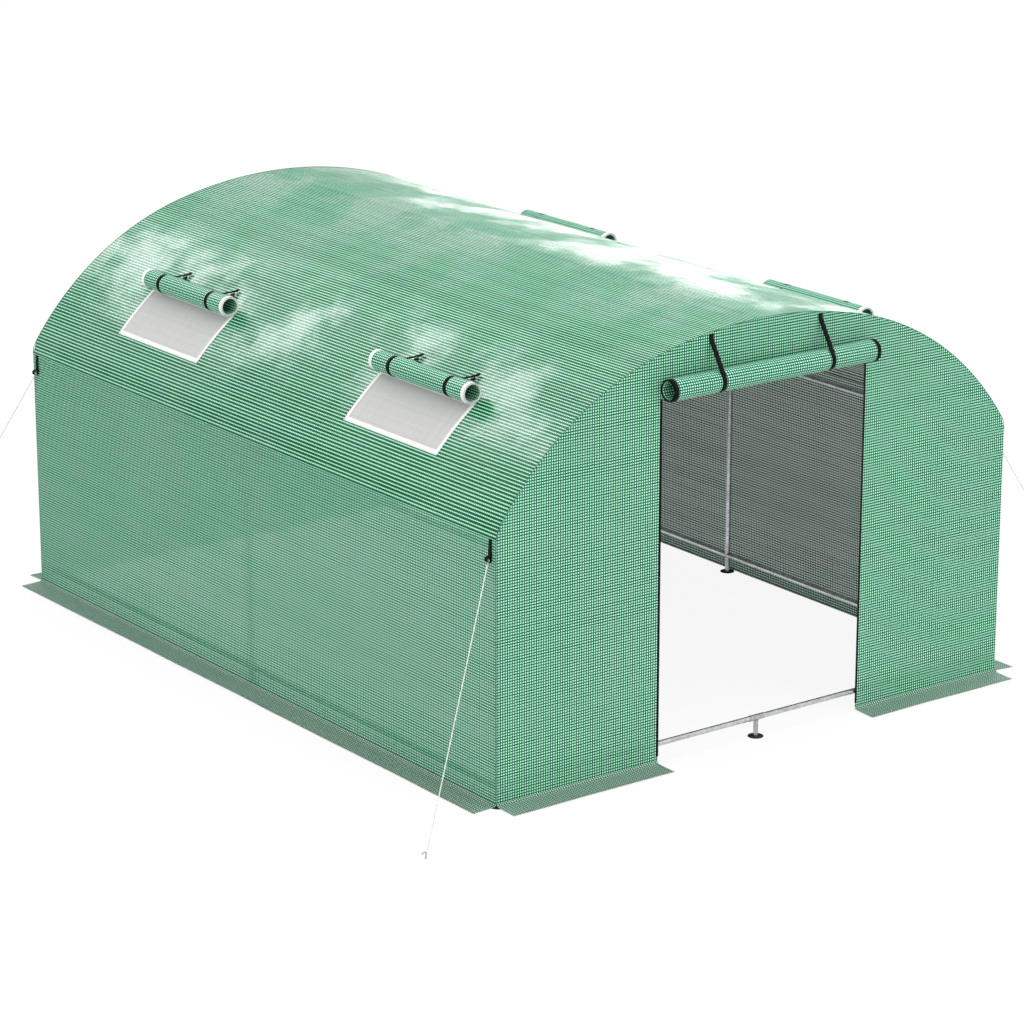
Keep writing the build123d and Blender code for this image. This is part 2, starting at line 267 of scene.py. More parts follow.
def maths(tree, operation, a, b=0.0, clamp=False):
    return addNode(tree, "ShaderNodeMath", {0: a, 1: b}, operation=operation, use_clamp=clamp).outputs[0]


def ramp(tree, value, low, high, to=(0.0, 1.0), smooth=True):
    sockets = {"Value": value, "From Min": low, "From Max": high, "To Min": to[0], "To Max": to[1]}
    kind = "SMOOTHSTEP" if smooth else "LINEAR"
    return addNode(tree, "ShaderNodeMapRange", sockets, interpolation_type=kind).outputs["Result"]


def blendColours(tree, factor, a, b, mode="MIX"):
    node = addNode(tree, "ShaderNodeMix", data_type="RGBA", blend_type=mode)
    for socket, value in ((node.inputs[0], factor), (node.inputs[6], a), (node.inputs[7], b)):
        if isinstance(value, bpy.types.NodeSocket):
            tree.links.new(value, socket)
        else:
            socket.default_value = value
    return node.outputs[2]


def softNoise(tree, place, scale, detail, **sockets):
    sockets = {"Vector": place, "Scale": scale, "Detail": detail} | sockets
    return addNode(tree, "ShaderNodeTexNoise", sockets).outputs["Fac"]


def clothUv(tree):
    return addNode(tree, "ShaderNodeUVMap", uv_map="UVMap").outputs["UV"]


def objectPlace(tree):
    return addNode(tree, "ShaderNodeTexCoord").outputs["Object"]


def newGroup(name, inputs, outputs):
    # An input without a value is a place, and all the others are numbers
    tree = bpy.data.node_groups.new(name, "ShaderNodeTree")
    for label, value in inputs.items():
        kind = "NodeSocketVector" if value is None else "NodeSocketFloat"
        socket = tree.interface.new_socket(label, in_out="INPUT", socket_type=kind)
        if value is not None:
            socket.default_value = value
    for label in outputs:
        tree.interface.new_socket(label, in_out="OUTPUT", socket_type="NodeSocketFloat")
    return tree, tree.nodes.new("NodeGroupInput").outputs, tree.nodes.new("NodeGroupOutput").inputs


def joinTo(tree, sockets, values):
    for key, value in values.items():
        tree.links.new(value, sockets[key])


def threadGridGroup():
    # Threads both ways over a film, each with its own width and tone
    inputs = {"Grid": None, "Pitch U": 0.0131, "Pitch V": 0.0131, "Width U": 0.45, "Width V": 0.45}
    tree, given, made = newGroup("threadGrid", inputs | {"Variation": 0.3}, ["Thread", "Height", "Tone"])
    place = addNode(tree, "ShaderNodeSeparateXYZ", {0: given["Grid"]}).outputs
    masks, tones = [], []
    for axis, letter in ((0, "U"), (1, "V")):
        count = maths(tree, "DIVIDE", place[axis], given["Pitch " + letter])
        line = maths(tree, "ROUND", count)
        off = maths(tree, "ABSOLUTE", maths(tree, "SUBTRACT", count, line))
        number = maths(tree, "ADD", line, 17.3 * (axis + 1))  # so that the two ways differ
        drawn = addNode(tree, "ShaderNodeTexWhiteNoise", {"W": number}, noise_dimensions="1D")
        chance = drawn.outputs["Value"]
        spread = maths(tree, "MULTIPLY", maths(tree, "SUBTRACT", chance, 0.5), given["Variation"])
        width = maths(tree, "MULTIPLY", given["Width " + letter], maths(tree, "ADD", spread, 1.0))
        edge = maths(tree, "SUBTRACT", maths(tree, "MULTIPLY", width, 0.5), off)
        masks.append(ramp(tree, edge, -0.03, 0.03))
        tones.append(chance)
    tone = maths(tree, "MULTIPLY", maths(tree, "ADD", tones[0], tones[1]), 0.5)
    either, height = maths(tree, "MAXIMUM", masks[0], masks[1]), maths(tree, "ADD", masks[0], masks[1])
    joinTo(tree, made, {"Thread": either, "Height": height, "Tone": tone})
    return tree


def filmFoldGroup():
    # Long creases from packing and pulling, with a smoother and a duller film between them
    inputs = {"Place": None, "Stretch": 5.0, "Scale": 1.2}
    tree, given, made = newGroup("filmFolds", inputs, ["Fold", "Cloud", "Crease"])
    x, y, z = addNode(tree, "ShaderNodeSeparateXYZ", {0: given["Place"]}).outputs
    stretched = maths(tree, "MULTIPLY", y, given["Stretch"])
    across = addNode(tree, "ShaderNodeCombineXYZ", {0: x, 1: stretched, 2: z}).outputs[0]
    scale = given["Scale"]
    folds = softNoise(tree, across, scale, 1.5, Roughness=0.4, Distortion=0.4)
    clouds = softNoise(tree, given["Place"], maths(tree, "MULTIPLY", scale, 1.4), 6.0, Roughness=0.62)
    ridged = softNoise(tree, across, maths(tree, "MULTIPLY", scale, 2.1), 2.0, Roughness=0.5, Distortion=0.9)
    off = maths(tree, "ABSOLUTE", maths(tree, "SUBTRACT", ridged, 0.5))
    crease = ramp(tree, off, 0.0, 0.05, to=(1.0, 0.0))
    joinTo(tree, made, {"Fold": folds, "Cloud": ramp(tree, clouds, 0.42, 0.62), "Crease": crease})
    return tree


def weaveGroup():
    # A tape's over and under threads, seen close
    tree, given, made = newGroup("tapeWeave", {"Place": None, "Pitch": 0.0012}, ["Height"])
    count = maths(tree, "DIVIDE", 1.0, given["Pitch"])
    scaled = addNode(tree, "ShaderNodeVectorMath", {0: given["Place"], "Scale": count}, operation="SCALE")
    place = addNode(tree, "ShaderNodeSeparateXYZ", {0: scaled.outputs[0]}).outputs
    waves = [maths(tree, "SINE", maths(tree, "MULTIPLY", place[i], pi)) for i in (0, 1)]
    height = maths(tree, "ABSOLUTE", maths(tree, "MULTIPLY", waves[0], waves[1]))
    joinTo(tree, made, {"Height": height})
    return tree


def metalGroup():
    # Zinc's faint spangle, and rubbed patches along the tube
    outputs = ["Tone", "Roughness", "Height"]
    tree, given, made = newGroup("zincSpangle", {"Place": None, "Scale": 60.0}, outputs)
    place = given["Place"]
    flakes = addNode(tree, "ShaderNodeTexVoronoi", {"Vector": place, "Scale": given["Scale"]})
    grey = addNode(tree, "ShaderNodeSeparateColor", {0: flakes.outputs["Color"]}).outputs[0]
    rubbed = softNoise(tree, place, 9.0, 6.0)
    rough = ramp(tree, rubbed, 0.35, 0.7, to=(0.24, 0.46))
    joinTo(tree, made, {"Tone": grey, "Roughness": rough, "Height": rubbed})
    return tree


threadGrid = threadGridGroup()
filmFolds = filmFoldGroup()
tapeWeave = weaveGroup()
zincSpangle = metalGroup()


def newMaterial(name):
    material = bpy.data.materials.new(name)
    material.use_nodes = True
    tree = material.node_tree
    tree.nodes.clear()
    return material, tree, tree.nodes.new("ShaderNodeOutputMaterial")


def groupNode(tree, group, sockets):
    return addNode(tree, "ShaderNodeGroup", sockets, node_tree=group).outputs


def mixTo(tree, out, share, first, second):
    mixed = addNode(tree, "ShaderNodeMixShader", {0: share, 1: first.outputs[0], 2: second.outputs[0]})
    tree.links.new(mixed.outputs[0], out.inputs["Surface"])


def bump(tree, height, distance, strength=1.0, below=None):
    sockets = {"Height": height, "Distance": distance, "Strength": strength}
    if below:
        sockets["Normal"] = below
    return addNode(tree, "ShaderNodeBump", sockets).outputs["Normal"]


coverLook = {
    "innerSquare": (0.58, 0.76, 0.66, 1),
    "innerThread": (0.022, 0.042, 0.032, 1),
    # The pale colour of random patches that are partly dust and partly a painted reflection of cloudy glare
    "dustAndPaintedGlare": (0.72, 0.86, 0.79, 1),
    "foldDepth": 0.0045,
    "creaseDepth": 0.0004,
    "threadDepth": 0.00012,
}
shadeCloth = {
    "pitch": (0.0131, 0.0131),  # spacing of the threads both ways, in metres
    "width": (0.42, 0.44),  # a thread's width as a share of the pitch
    "uneven": 0.25,
    "alpha": 1.0,  # of the squares between the threads
    "through": 0.06,  # share of the light let through
    "rough": (0.40, 0.60),
    "coat": 0.1,
}
fabrics = {
    "roof": shadeCloth | {
        "square": (0.37, 0.98, 0.64, 1), "thread": (0.002, 0.072, 0.026, 1), "pitch": (0.0131, 0.0167),
        "width": (0.20, 0.64), "alpha": 0.92, "through": 0.18, "rough": (0.16, 0.50), "coat": 1.0,
    },
    "wall": shadeCloth | {
        "square": (0.44, 0.97, 0.68, 1), "thread": (0.012, 0.125, 0.062, 1), "width": (0.36, 0.42),
        "uneven": 0.55, "alpha": 0.80, "through": 0.30,
    },
    "end": shadeCloth | {
        "square": (0.44, 0.98, 0.69, 1), "thread": (0.007, 0.098, 0.046, 1), "width": (0.40, 0.42),
        "uneven": 0.45, "alpha": 0.95, "through": 0.22,
    },
    "skirt": shadeCloth | {
        "square": (0.48, 0.70, 0.57, 1), "thread": (0.045, 0.120, 0.080, 1), "uneven": 0.40,
        "alpha": 0.97, "through": 0.15, "rough": (0.45, 0.65), "coat": 0.0,
    },
    "roll": shadeCloth | {
        "square": (0.42, 0.96, 0.68, 1), "thread": (0.002, 0.055, 0.022, 1), "width": (0.40, 0.46),
    },
    "door": shadeCloth | {
        "square": (0.42, 0.92, 0.68, 1), "thread": (0.004, 0.080, 0.038, 1), "width": (0.44, 0.48),
    },
}


def coverMaterial(name, fabric, foldStretch=5.0):
    material, tree, out = newMaterial(name)
    uv = clothUv(tree)
    (pitchU, pitchV), (widthU, widthV), uneven = fabric["pitch"], fabric["width"], fabric["uneven"]
    sockets = {"Grid": uv, "Pitch U": pitchU, "Pitch V": pitchV, "Width U": widthU, "Width V": widthV}
    grid = groupNode(tree, threadGrid, sockets | {"Variation": uneven})
    folds = groupNode(tree, filmFolds, {"Place": uv, "Stretch": foldStretch})
    facing = addNode(tree, "ShaderNodeNewGeometry").outputs["Backfacing"]
    film = blendColours(tree, facing, fabric["square"], coverLook["innerSquare"])
    cord = blendColours(tree, facing, fabric["thread"], coverLook["innerThread"])
    # Pale cloudy patches at random over the film: partly dust, partly a painted reflection of cloudy glare
    dustAndGlarePatches = ramp(tree, softNoise(tree, objectPlace(tree), 2.3, 3.0), 0.35, 0.75, to=(0.0, 0.12))
    film = blendColours(tree, dustAndGlarePatches, film, coverLook["dustAndPaintedGlare"])
    colour = blendColours(tree, grid["Thread"], film, cord)
    tones = (1 - 0.5 * uneven, 1 + 0.4 * uneven)
    tone = ramp(tree, grid["Tone"], 0.0, 1.0, to=tones, smooth=False)
    toned = addNode(tree, "ShaderNodeCombineColor", {0: tone, 1: tone, 2: tone}).outputs[0]
    colour = blendColours(tree, 1.0, colour, toned, mode="MULTIPLY")
    cloud, coat = folds["Cloud"], fabric["coat"]
    glossy, dull = fabric["rough"]
    creased = bump(tree, folds["Fold"], coverLook["foldDepth"])
    creased = bump(tree, folds["Crease"], coverLook["creaseDepth"], 0.7, creased)
    skin = addNode(
        tree, "ShaderNodeBsdfPrincipled",
        {
            "Base Color": colour, "IOR": 1.45, "Specular IOR Level": 0.22,
            "Roughness": ramp(tree, cloud, 0.0, 1.0, to=(dull, glossy), smooth=False),
            "Alpha": ramp(tree, grid["Thread"], 0.0, 1.0, to=(fabric["alpha"], 1.0)),
            "Normal": bump(tree, grid["Height"], coverLook["threadDepth"], 0.6, creased),
            "Coat Weight": ramp(tree, cloud, 0.0, 1.0, to=(0.06 * coat, 0.60 * coat), smooth=False),
            "Coat Roughness": 0.20, "Coat IOR": 1.4, "Coat Normal": creased,
        },
    )
    through = addNode(tree, "ShaderNodeBsdfTranslucent", {"Color": colour, "Normal": creased})
    mixTo(tree, out, fabric["through"], skin, through)
    return material


def plainMaterial(name, base, roughness, metallic=0.0, dark=None, weave=None, spangle=None, specular=0.5):
    # dark is the shade painted into a weave's hollows, and otherwise the darker tone of the specks or flakes;
    # weave is the threads' pitch, and spangle the flakes' scale
    material, tree, out = newMaterial(name)
    place = objectPlace(tree)
    skin = addNode(tree, "ShaderNodeBsdfPrincipled", {"Metallic": metallic, "Specular IOR Level": specular})
    darkToneAndHollowShade = dark or tuple(0.72 * c for c in base[:3]) + (1,)
    if spangle:
        zinc = groupNode(tree, zincSpangle, {"Place": place, "Scale": spangle})
        colour = blendColours(tree, zinc["Tone"], darkToneAndHollowShade, base)
        tree.links.new(zinc["Roughness"], skin.inputs["Roughness"])
        tree.links.new(bump(tree, zinc["Height"], 0.0006, 0.4), skin.inputs["Normal"])
    elif weave:
        cloth = groupNode(tree, tapeWeave, {"Place": clothUv(tree), "Pitch": weave})
        # Painted shade: the weave's hollows between the threads take the dark colour
        colour = blendColours(tree, cloth["Height"], darkToneAndHollowShade, base)
        tree.links.new(bump(tree, cloth["Height"], 0.0004, 0.9), skin.inputs["Normal"])
        skin.inputs["Roughness"].default_value = roughness
    else:
        speck = softNoise(tree, place, 140.0, 4.0)
        colour = blendColours(tree, ramp(tree, speck, 0.3, 0.7), darkToneAndHollowShade, base)
        rough = ramp(tree, speck, 0.2, 0.8, to=(roughness - 0.06, roughness + 0.08))
        tree.links.new(rough, skin.inputs["Roughness"])
        tree.links.new(bump(tree, speck, 0.0003, 0.5), skin.inputs["Normal"])
    tree.links.new(colour, skin.inputs["Base Color"])
    tree.links.new(skin.outputs[0], out.inputs["Surface"])
    return material


roofFabric = coverMaterial("roofFabric", fabrics["roof"])
wallFabric = coverMaterial("wallFabric", fabrics["wall"])
endFabric = coverMaterial("endFabric", fabrics["end"], foldStretch=1.0)
skirtFabric = coverMaterial("skirtFabric", fabrics["skirt"])
rollFabric = coverMaterial("rollFabric", fabrics["roll"])
doorFabric = coverMaterial("doorFabric", fabrics["door"])
galvanised = plainMaterial("galvanised", (0.62, 0.64, 0.66, 1), 0.35, metallic=1.0, spangle=70.0)
castZinc = plainMaterial("castZinc", (0.50, 0.52, 0.54, 1), 0.4, metallic=1.0, spangle=110.0)
pegSteel = plainMaterial("pegSteel", (0.52, 0.54, 0.56, 1), 0.4, metallic=1.0, spangle=90.0)
blackRubber = plainMaterial("blackRubber", (0.016, 0.016, 0.017, 1), 0.62)
blackWebbing = plainMaterial(
    "blackWebbing", (0.010, 0.010, 0.011, 1), 0.8, dark=(0.002, 0.002, 0.002, 1), weave=0.0016, specular=0.12,
)
whiteTape = plainMaterial("whiteTape", (0.90, 0.90, 0.89, 1), 0.75, dark=(0.74, 0.74, 0.73, 1), weave=0.0014)
paleRope = plainMaterial("paleRope", (0.76, 0.76, 0.74, 1), 0.7, dark=(0.52, 0.52, 0.50, 1))
blackPlastic = plainMaterial("blackPlastic", (0.012, 0.012, 0.013, 1), 0.45, specular=0.2)
seamCord = plainMaterial("seamCord", (0.03, 0.22, 0.10, 1), 0.55, dark=(0.012, 0.12, 0.05, 1))


netLook = {
    "pitch": 0.0022,
    "yarn": (0.60, 0.60, 0.59, 1),
    "paleYarn": (0.70, 0.70, 0.69, 1),
    "gapAlpha": 0.80,
}


def netMaterial():
    # Woven insect netting: a fine grid of pale yarn with gaps between
    material, tree, out = newMaterial("insectNet")
    pitches = {"Pitch U": netLook["pitch"], "Pitch V": netLook["pitch"]}
    widths = {"Width U": 0.42, "Width V": 0.42, "Variation": 0.2}
    grid = groupNode(tree, threadGrid, {"Grid": clothUv(tree)} | pitches | widths)
    colour = blendColours(tree, grid["Tone"], netLook["yarn"], netLook["paleYarn"])
    solid = ramp(tree, grid["Thread"], 0.0, 1.0, to=(netLook["gapAlpha"], 1.0))
    normal = bump(tree, grid["Height"], 0.0003, 0.8)
    sockets = {"Base Color": colour, "Roughness": 0.6, "Alpha": solid, "Normal": normal}
    skin = addNode(tree, "ShaderNodeBsdfPrincipled", sockets)
    through = addNode(tree, "ShaderNodeBsdfTranslucent", {"Color": colour})
    mixTo(tree, out, 0.25, skin, through)
    return material


insectNet = netMaterial()
print("materials made")

cadFinishes = {
    "galvanised_tube": galvanised,
    "galvanised_fitting": castZinc,
    "foot_rubber": blackRubber,
    "green_cover": rollFabric,
    "window_mesh": whiteTape,
    "black_webbing": blackWebbing,
    "black_zip": blackWebbing,
    "pale_rope": paleRope,
    "peg_steel": pegSteel,
}
for obj in bpy.data.objects:
    if "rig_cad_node" in obj and obj.type == "MESH":
        for place in obj.material_slots:
            name = place.material.name.split(".")[0] if place.material else None
            place.material = cadFinishes.get(name, place.material)

# Camera, floor and light
viewPlace = {"position": (-10.5, -14.216, 6.002), "azimuth": -36.633, "elevation": 17.005, "lens": 130.2}
camera = newObject("camera", bpy.data.cameras.new("camera"))
camera.data.lens = viewPlace["lens"]
camera.data.clip_end = 200
camera.location = viewPlace["position"]
camera.rotation_euler = (radians(90 - viewPlace["elevation"]), 0, radians(viewPlace["azimuth"]))
bpy.context.scene.camera = camera

lightLook = {
    "world": 1.35,
    "floorSize": 60,
    "floorShadow": 0.10,
    "lamps": [
        # name, place, aim, size, power, whether it lights dull surfaces too
        ("overhead", (1.8, -2.2, 10.0), (0, 0, 1.5), 6.0, 320, True),
        ("frontal", (2.5, -11.0, 5.5), (0, -2.2, 1.0), 5.0, 100, True),
        ("slopeGlare", (-1.7, 9.7, 9.3), (-1.0, 0.0, 1.6), 5.5, 560, False),
        ("ridgeSheen", (10.4, 11.0, 2.2), (0.5, -0.3, 1.95), 4.4, 170, False),
    ],
}


def seenDirectly(tree):
    # 1 where a ray comes from the camera, a reflection or a see-through cloth
    path = addNode(tree, "ShaderNodeLightPath").outputs
    seen = maths(tree, "MAXIMUM", path["Is Camera Ray"], path["Is Glossy Ray"])
    return maths(tree, "MAXIMUM", seen, path["Is Transmission Ray"])


def buildStage():
    bm = bmesh.new()
    bmesh.ops.create_grid(bm, x_segments=1, y_segments=1, size=lightLook["floorSize"] / 2)
    bmesh.ops.translate(bm, verts=bm.verts[:], vec=(0, 0, -0.001))
    material, tree, out = newMaterial("paleFloor")
    paper = addNode(tree, "ShaderNodeBsdfDiffuse", {"Color": (0.9, 0.9, 0.9, 1)})
    bright = addNode(tree, "ShaderNodeEmission", {"Color": (1, 1, 1, 1), "Strength": 1.0})
    share = maths(tree, "MULTIPLY", seenDirectly(tree), 1 - lightLook["floorShadow"])
    mixTo(tree, out, share, paper, bright)
    meshObject("floor", bm, material)


def buildWorld():
    world = bpy.data.worlds.new("studio")
    bpy.context.scene.world = world
    world.use_nodes = True
    tree = world.node_tree
    tree.nodes.clear()
    strength = ramp(tree, seenDirectly(tree), 0.0, 1.0, to=(lightLook["world"], 1.0), smooth=False)
    back = addNode(tree, "ShaderNodeBackground", {"Color": (1, 1, 1, 1), "Strength": strength})
    out = tree.nodes.new("ShaderNodeOutputWorld")
    tree.links.new(back.outputs[0], out.inputs["Surface"])


def buildLamps():
    for name, place, aim, size, power, dull in lightLook["lamps"]:
        lamp = bpy.data.lights.new(name, "AREA")
        lamp.shape = "SQUARE"
        lamp.size = size
        lamp.energy = power
        made = newObject(name, lamp)
        made.location = place
        made.rotation_euler = (Vector(aim) - Vector(place)).to_track_quat("-Z", "Y").to_euler()
        made.visible_diffuse = dull
        made.visible_camera = False


buildStage()
buildWorld()
buildLamps()
bpy.context.scene.view_settings.view_transform = "Standard"
print("camera, floor and light placed")

coverParts = {
    "step": 0.05,  # spacing of the points along and across the cloth
    "sag": 0.004,
    "wrinkle": 0.0022,
    "wrinkleSize": 0.45,
}
windows = {
    "foot": 1.515,
    "height": 0.292,
    "width": 0.720,
    "centres": (-1.0, 1.0),
}


def betweenHoops(y):
    # 0 at the hoops, which hold the cover, and 1 halfway
    return abs(sin(pi * y / halfLength))


def heldEdge(value, low, high, reach=0.25):
    near = min(value - low, high - value)
    return max(0.0, min(1.0, near / reach))


def roofSag(distance, y):
    held = betweenHoops(y) * heldEdge(abs(distance), 0, eaveDistance, 0.4)
    noiseAt = Vector((distance / coverParts["wrinkleSize"] * 1.6, y / coverParts["wrinkleSize"] * 0.5, 3.1))
    return held * (coverParts["wrinkle"] * noise.noise(noiseAt) - coverParts["sag"])


def layOnRoof(bm):
    # Gives the cloth its UVs and moves it down with the cover's sag
    drapeUv(bm, roofUv)
    outwards(bm)
    for vert in bm.verts:
        distance = roofDistance(vert.co)
        vert.co += roofNormal(distance) * roofSag(distance, vert.co.y)


def buildRoofCover():
    bm = bmesh.new()
    foot, top = windows["foot"], windows["foot"] - windows["height"]
    half, centres = windows["width"] / 2, windows["centres"]
    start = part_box("roof_crown")[0][1]
    ySides = sorted(c + s * half for c in centres for s in (-1, 1))
    ys = spaced([start] + ySides + [-start], coverParts["step"])
    left = roofPoint(-eaveDistance)
    line = lineOfVerts(bm, [(left.x, y, left.z) for y in ys])
    stops = [-eaveDistance, -foot, -top, 0, top, foot, eaveDistance]
    spinRoof(bm, line, stops, coverParts["step"])
    cutOut(bm, lambda at: any(abs(at.y - c) < half for c in centres) and top < abs(roofDistance(at)) < foot)
    layOnRoof(bm)
    replaced = ("roof_crown", "roof_left_slope", "roof_right_slope")
    made = piece("roof_cover", bm, roofFabric, replaced)


def buildSideWall(side, node):
    low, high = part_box(node)
    bm = bmesh.new()
    length, height = high[1] - low[1], high[2] - low[2]
    rows, columns = round(height / coverParts["step"]), round(length / coverParts["step"])
    bmesh.ops.create_grid(bm, x_segments=rows, y_segments=columns, size=0.5)
    bmesh.ops.scale(bm, vec=(height, length, 1), verts=bm.verts[:])
    bmesh.ops.rotate(bm, cent=(0, 0, 0), matrix=Matrix.Rotation(pi / 2, 3, "Y"), verts=bm.verts[:])
    bmesh.ops.translate(bm, vec=(side * halfWidth, 0, (low[2] + high[2]) / 2), verts=bm.verts[:])
    drapeUv(bm, lambda co: (co.y, eaveDistance + roofLine["eaveHeight"] - co.z))
    outwards(bm)
    for vert in bm.verts:
        held = betweenHoops(vert.co.y) * heldEdge(vert.co.z, low[2], high[2])
        ripple = noise.noise(Vector((vert.co.y * 2.2, vert.co.z * 0.9, 7.7 + side)))
        vert.co.x += side * held * (2 * coverParts["wrinkle"] * ripple - coverParts["sag"])
    made = piece(node + "_cover", bm, wallFabric, (node,))


def buildEnd(name, y, nodes, doorway):
    # The grid's columns are stretched up to the roof line, and the doorway is cut out of it
    bm = bmesh.new()
    columns, rows = round(2 * halfWidth / coverParts["step"]), round(ridgeZ / coverParts["step"])
    bmesh.ops.create_grid(bm, x_segments=columns, y_segments=rows, size=0.5)
    bmesh.ops.rotate(bm, cent=(0, 0, 0), matrix=Matrix.Rotation(pi / 2, 3, "X"), verts=bm.verts[:])
    for vert in bm.verts:
        share = 2 * vert.co.x
        # The columns stand closer towards the eaves, where the roof line turns down
        x = halfWidth * sin(share * pi / 2) * 0.5 + halfWidth * share * 0.5
        vert.co = Vector((x, y, wallFoot + (vert.co.z + 0.5) * (roofHeight(x) - wallFoot)))
    if doorway:
        cuts = [((doorHalf, y, 0), (1, 0, 0)), ((-doorHalf, y, 0), (1, 0, 0)), ((0, y, doorTop), (0, 0, 1))]
        for cut, normal in cuts:
            whole = bm.verts[:] + bm.edges[:] + bm.faces[:]
            bmesh.ops.bisect_plane(bm, geom=whole, plane_co=cut, plane_no=normal, dist=1e-5)
        cutOut(bm, lambda at: abs(at.x) < doorHalf and at.z < doorTop)
    drapeUv(bm, lambda co: (co.x, co.z))
    area = sum(face.calc_area() for face in bm.faces)
    outwards(bm)
    for vert in bm.verts:
        x, z = vert.co.x, vert.co.z
        held = heldEdge(z, wallFoot, roofHeight(x), 0.2) * heldEdge(x, -halfWidth, halfWidth, 0.3)
        if doorway:
            held *= max(0.0, min(1.0, max(abs(x) - doorHalf, z - doorTop) / 0.2))
        ripple = noise.noise(Vector((x * 2.4, z * 0.8, 1.3)))
        vert.co.y += (1 if y > 0 else -1) * held * 1.5 * coverParts["wrinkle"] * ripple
    made = piece(name, bm, endFabric, nodes)


buildRoofCover()
buildSideWall(-1, "left_wall")
buildSideWall(1, "right_wall")
buildEnd("front_cover", -halfLength, ("front_left_panel", "front_gable_panel", "front_right_panel"), True)
buildEnd("rear_cover", halfLength, ("rear_wall",), False)
print("cover sheets made")

skirtShape = {
    "width": 0.125,
    "fold": 0.012,
    "hem": 0.018,
    "ripple": 0.0035,
    "spacing": 0.04,  # of the points along the flap
    "rows": [(0.020, -0.0010), (0.030, -0.0015), (0.035, -0.0015)],  # each row's reach and fall
    "lastFall": -0.0010,
    "hemFold": (0.0015, 0.0009),
    "hemRise": 0.0004,
}


def buildSkirt(name, node, start, end, out):
    # start and end are points at the foot of the wall, and out is the way the flap lies
    start, end, out = Vector(start), Vector(end), Vector(out)
    along = (end - start).normalized()
    length = (end - start).length
    bm = bmesh.new()
    count = round(length / skirtShape["spacing"])
    verts = lineOfVerts(bm, [start + along * length * i / count for i in range(count + 1)])
    fold, width, rows = skirtShape["fold"], skirtShape["width"], skirtShape["rows"]
    axis = out.cross(Vector((0, 0, 1)))
    turned = bmesh.ops.spin(bm, geom=verts, cent=start + out * fold, axis=axis, angle=pi / 2, steps=5)
    edges = edgesIn(turned["geom_last"])
    rest = width - fold - sum(reach for reach, _ in rows)
    hem = [skirtShape["hemFold"], (-skirtShape["hem"], skirtShape["hemRise"])]
    for reach, fall in rows + [(rest, skirtShape["lastFall"])] + hem:
        _, edges, _ = pull(bm, edges, out * reach + Vector((0, 0, fall)))
    drapeUv(bm, lambda co: ((co - start).dot(along), (co - start).dot(out) + wallFoot - co.z))
    outwards(bm, Vector((0, 0, -0.5)))
    for vert in bm.verts:
        here = vert.co - start
        lifted = max(0.0, here.dot(out) - 0.03) / width
        wave = noise.noise(Vector((here.dot(along) * 3.1, start.x + start.y, 0.5)))
        vert.co.z += skirtShape["ripple"] * lifted * (wave + 0.55)
        vert.co += out * 0.003 * lifted * noise.noise(Vector((here.dot(along) * 1.7, 9.1, start.y)))
    made = piece(name, bm, skirtFabric, (node,))


def buildSkirts():
    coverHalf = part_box("right_skirt")[1][1]
    for side, name in ((-1, "left_skirt"), (1, "right_skirt")):
        x = side * halfWidth
        buildSkirt(name + "_flap", name, (x, -coverHalf, wallFoot), (x, coverHalf, wallFoot), (side, 0, 0))
        start, end = (side * doorHalf, -halfLength, wallFoot), (x, -halfLength, wallFoot)
        buildSkirt("front_" + name + "_flap", "front_skirts", start, end, (0, -1, 0))
    start, end = (-halfWidth, halfLength, wallFoot), (halfWidth, halfLength, wallFoot)
    buildSkirt("rear_skirt_flap", "rear_skirt", start, end, (0, 1, 0))


def roofPatch(ys, distances, lift, step=0.02):
    bm = bmesh.new()
    first = roofPoint(distances[0], lift)
    lineOfVerts(bm, [(first.x, y, first.z) for y in spaced(ys, step)])
    spinRoof(bm, bm.verts[:] + bm.edges[:], distances, step)
    return bm


tapeShape = {
    "over": 0.006,  # how far the window tape laps onto the cover
    "inside": 0.015,
    "footInside": 0.018,
    "thickness": 0.0012,
    "netLift": 0.0004,
    "lift": 0.0010,
}


def buildWindow(side, centre, name, node):
    top, foot = windows["foot"] - windows["height"], windows["foot"]
    half = windows["width"] / 2
    bm = roofPatch([centre - half, centre + half], sorted((side * top, side * foot)), tapeShape["netLift"])
    layOnRoof(bm)
    net = piece(name + "_mesh", bm, insectNet, (node,))
    over, inside = tapeShape["over"], tapeShape["inside"]
    ys = [centre - half - over, centre - half + inside, centre + half - inside, centre + half + over]
    distances = [top - over, top + inside, foot - tapeShape["footInside"], foot + over]
    distances = sorted(side * d for d in distances)
    bm = roofPatch(ys, distances, tapeShape["lift"])
    cutOut(bm, lambda at: ys[1] < at.y < ys[2] and distances[1] < roofDistance(at) < distances[2])
    layOnRoof(bm)
    tape = piece(name + "_tape", bm, whiteTape)
    thicken(tape, tapeShape["thickness"], 1.0)


def thicken(made, thickness, offset):
    skin = made.modifiers.new("thickness", "SOLIDIFY")
    skin.thickness = thickness
    skin.offset = offset
    skin.use_even_offset = True


rollShape = {
    "steps": 14,  # per half turn
    "sheet": 0.0016,
    "layer": 0.0036,
    "halfTurns": 6,
    "rimWidth": 0.021,
    "rimThickness": 0.0017,
    "pinch": 0.0022,
    "pinchWidth": 0.030,
}


